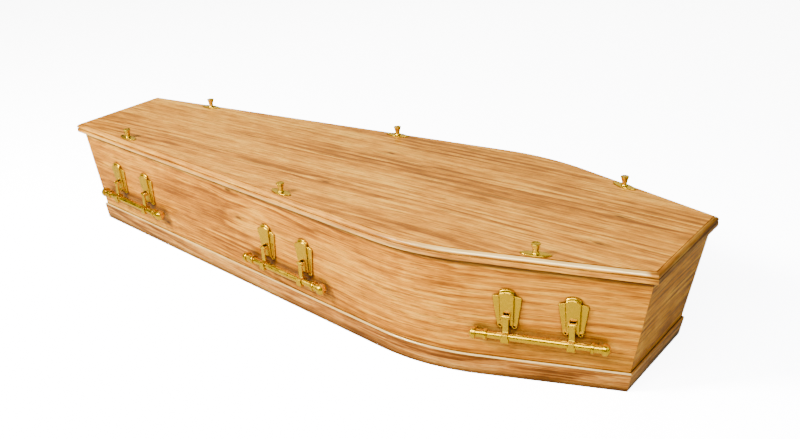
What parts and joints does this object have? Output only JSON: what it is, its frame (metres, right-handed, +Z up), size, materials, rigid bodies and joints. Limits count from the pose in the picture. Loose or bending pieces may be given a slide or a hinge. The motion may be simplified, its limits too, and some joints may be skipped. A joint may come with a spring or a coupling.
{
  "type": "wooden coffin",
  "caption": "Shouldered wooden coffin with splayed sides, a moulded flat lid, a low plinth, lid thumbscrews and swinging bar handles.",
  "frame": {"origin": "on the floor, under the middle of the lid", "axes": "+X towards the head end, +Y towards the left side, +Z up"},
  "size_m": [2.03, 0.6686, 0.3693],
  "materials": {
    "lid_oak": "satin lacquered oak veneer, grain along the length",
    "box_oak": "satin lacquered oak veneer, grain along the boards",
    "plinth_oak": "satin lacquered oak moulding, a little pinker",
    "gilt": "polished gilt brass"
  },
  "bodies": {
    "coffin": {"base_board": "box_oak", "side_board_left_foot_leg": "box_oak", "side_board_left_shoulder": "box_oak", "side_board_left_head_leg": "box_oak", "side_board_right_foot_leg": "box_oak", "side_board_right_shoulder": "box_oak", "side_board_right_head_leg": "box_oak", "foot_board": "box_oak", "head_board": "box_oak", "plinth_left": "plinth_oak", "plinth_right": "plinth_oak", "plinth_foot": "plinth_oak", "plinth_head": "plinth_oak", "lid": "lid_oak", "lid_screw_plate_left_foot": "gilt", "lid_screw_left_foot": "gilt", "handle_plate_left_foot_a": "gilt", "handle_plate_left_foot_b": "gilt", "lid_screw_plate_left_middle": "gilt", "lid_screw_left_middle": "gilt", "handle_plate_left_middle_a": "gilt", "handle_plate_left_middle_b": "gilt", "lid_screw_plate_left_head": "gilt", "lid_screw_left_head": "gilt", "handle_plate_left_head_a": "gilt", "handle_plate_left_head_b": "gilt", "lid_screw_plate_right_foot": "gilt", "lid_screw_right_foot": "gilt", "handle_plate_right_foot_a": "gilt", "handle_plate_right_foot_b": "gilt", "lid_screw_plate_right_middle": "gilt", "lid_screw_right_middle": "gilt", "handle_plate_right_middle_a": "gilt", "handle_plate_right_middle_b": "gilt", "lid_screw_plate_right_head": "gilt", "lid_screw_right_head": "gilt", "handle_plate_right_head_a": "gilt", "handle_plate_right_head_b": "gilt"},
    "handle_left_foot": {"handle_bar_left_foot": "gilt", "handle_arm_left_foot_a": "gilt", "handle_arm_left_foot_b": "gilt"},
    "handle_left_middle": {"handle_bar_left_middle": "gilt", "handle_arm_left_middle_a": "gilt", "handle_arm_left_middle_b": "gilt"},
    "handle_left_head": {"handle_bar_left_head": "gilt", "handle_arm_left_head_a": "gilt", "handle_arm_left_head_b": "gilt"},
    "handle_right_foot": {"handle_bar_right_foot": "gilt", "handle_arm_right_foot_a": "gilt", "handle_arm_right_foot_b": "gilt"},
    "handle_right_middle": {"handle_bar_right_middle": "gilt", "handle_arm_right_middle_a": "gilt", "handle_arm_right_middle_b": "gilt"},
    "handle_right_head": {"handle_bar_right_head": "gilt", "handle_arm_right_head_a": "gilt", "handle_arm_right_head_b": "gilt"}
  },
  "joints": [
    {"name": "handle_left_foot_swing", "type": "hinge", "parent": "coffin", "child": "handle_left_foot", "pos_m": [-0.75741, 0.19609, 0.172], "axis": [0.9925, 0.1224, 0], "range_deg": [-3, 90]},
    {"name": "handle_left_middle_swing", "type": "hinge", "parent": "coffin", "child": "handle_left_middle", "pos_m": [-0.01742, 0.2868, 0.162], "axis": [0.9924, 0.1229, 0], "range_deg": [-3, 90]},
    {"name": "handle_left_head_swing", "type": "hinge", "parent": "coffin", "child": "handle_left_head", "pos_m": [0.76113, 0.25431, 0.18], "axis": [0.9521, -0.3058, 0], "range_deg": [-3, 90]},
    {"name": "handle_right_foot_swing", "type": "hinge", "parent": "coffin", "child": "handle_right_foot", "pos_m": [-0.75741, -0.19609, 0.172], "axis": [-0.9925, 0.1224, 0], "range_deg": [-3, 90]},
    {"name": "handle_right_middle_swing", "type": "hinge", "parent": "coffin", "child": "handle_right_middle", "pos_m": [-0.01742, -0.2868, 0.162], "axis": [-0.9924, 0.1229, 0], "range_deg": [-3, 90]},
    {"name": "handle_right_head_swing", "type": "hinge", "parent": "coffin", "child": "handle_right_head", "pos_m": [0.76113, -0.25431, 0.18], "axis": [-0.9521, -0.3058, 0], "range_deg": [-3, 90]}
  ]
}
